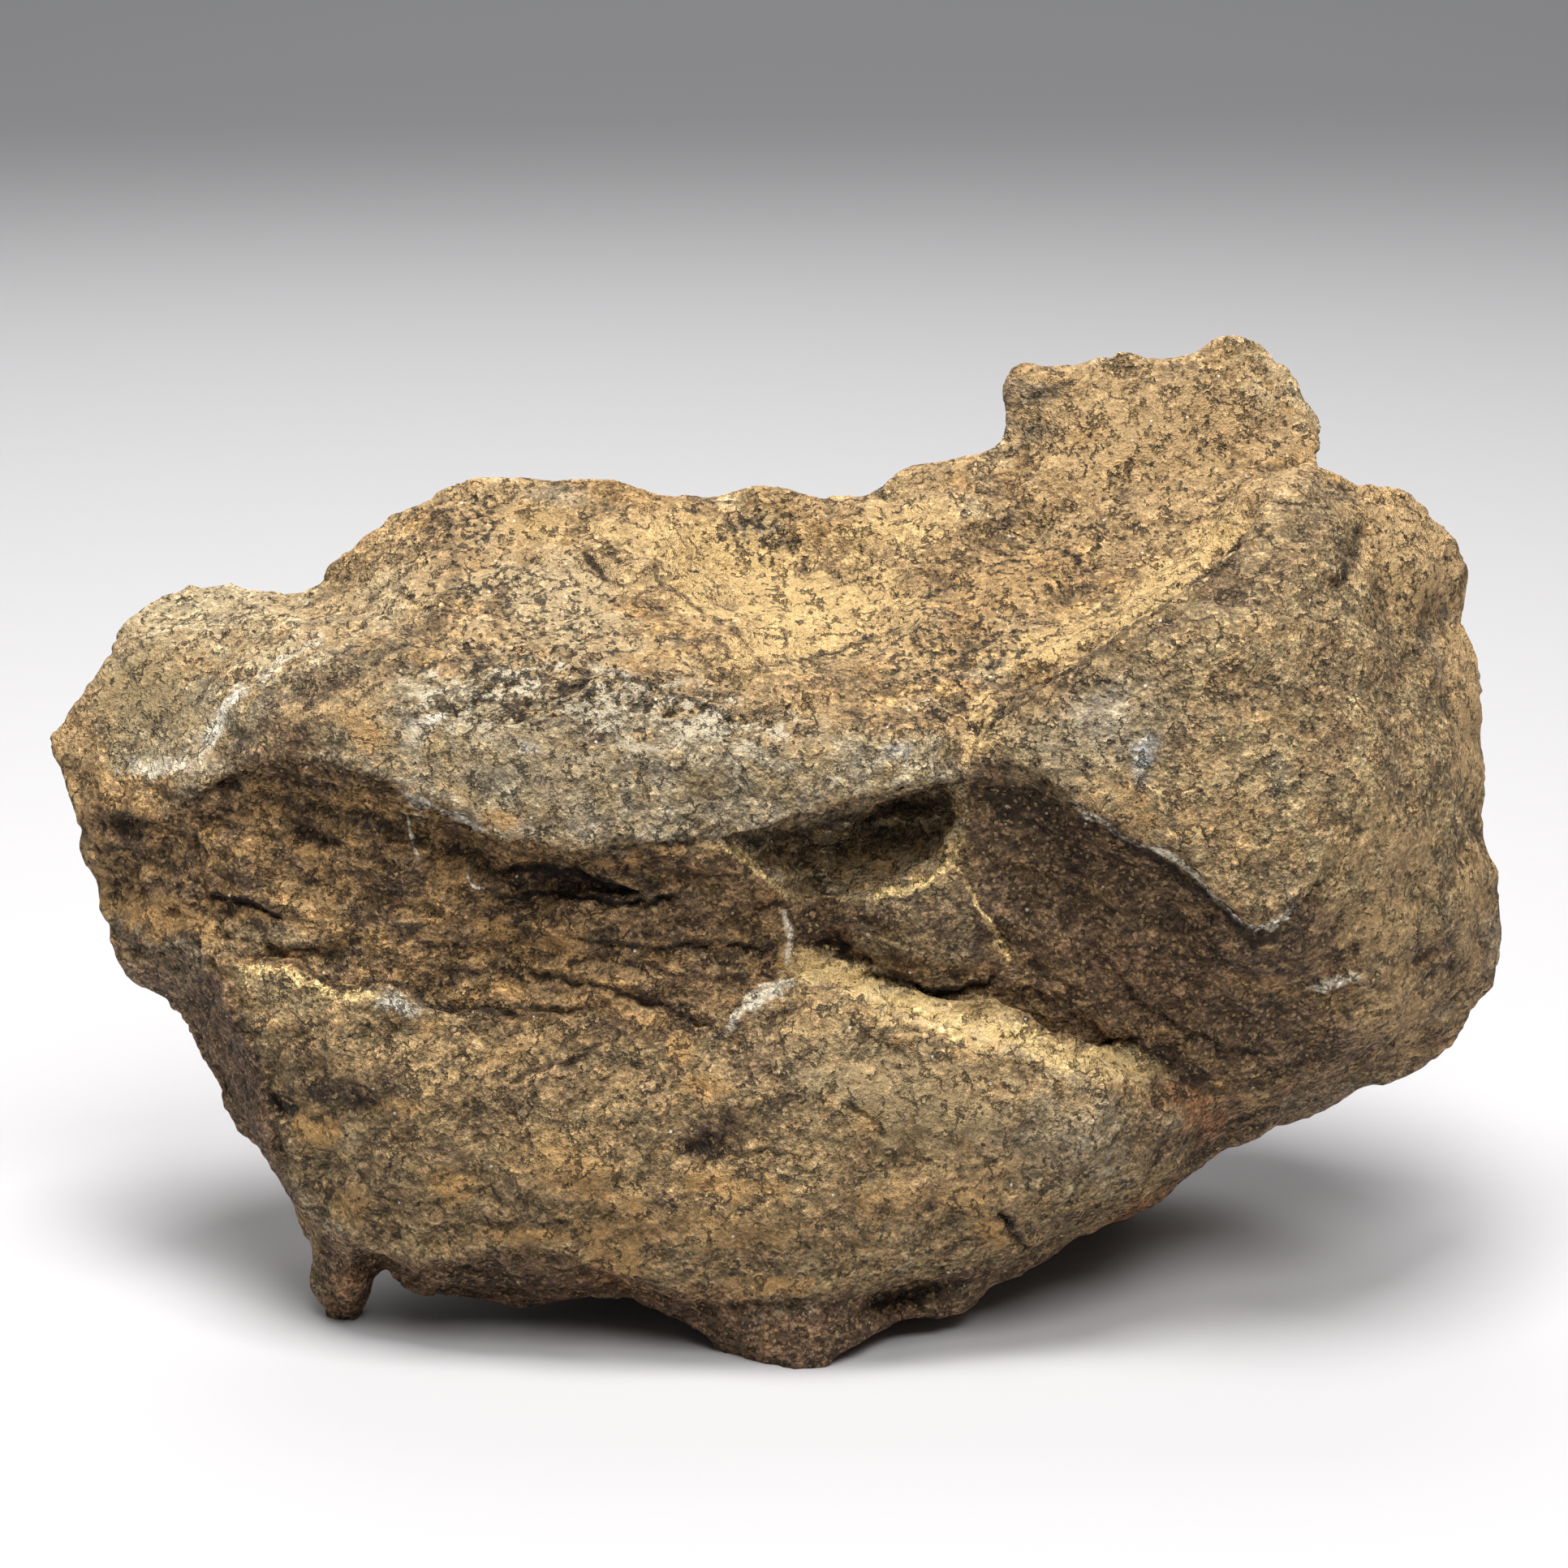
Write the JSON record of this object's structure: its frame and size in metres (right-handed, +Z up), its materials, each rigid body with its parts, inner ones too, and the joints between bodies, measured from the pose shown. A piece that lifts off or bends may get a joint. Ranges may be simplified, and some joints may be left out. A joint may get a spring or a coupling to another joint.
{
  "type": "enstatite chondrite",
  "caption": "Weathered brown stone with an overhanging brow, a hollow in its top, a thick block at one end and layered beds, resting on three worn points.",
  "frame": {"origin": "on the ground under the middle of the stone's box, in plan", "axes": "+Z up, +X along the stone's long side towards its thick block, -Y out of its broad face"},
  "size_m": [0.0924, 0.0514, 0.0563],
  "materials": {
    "stone": "rough weathered stone, brown with tan and ochre dust"
  },
  "bodies": {
    "root": {"stone": "stone"}
  },
  "joints": []
}
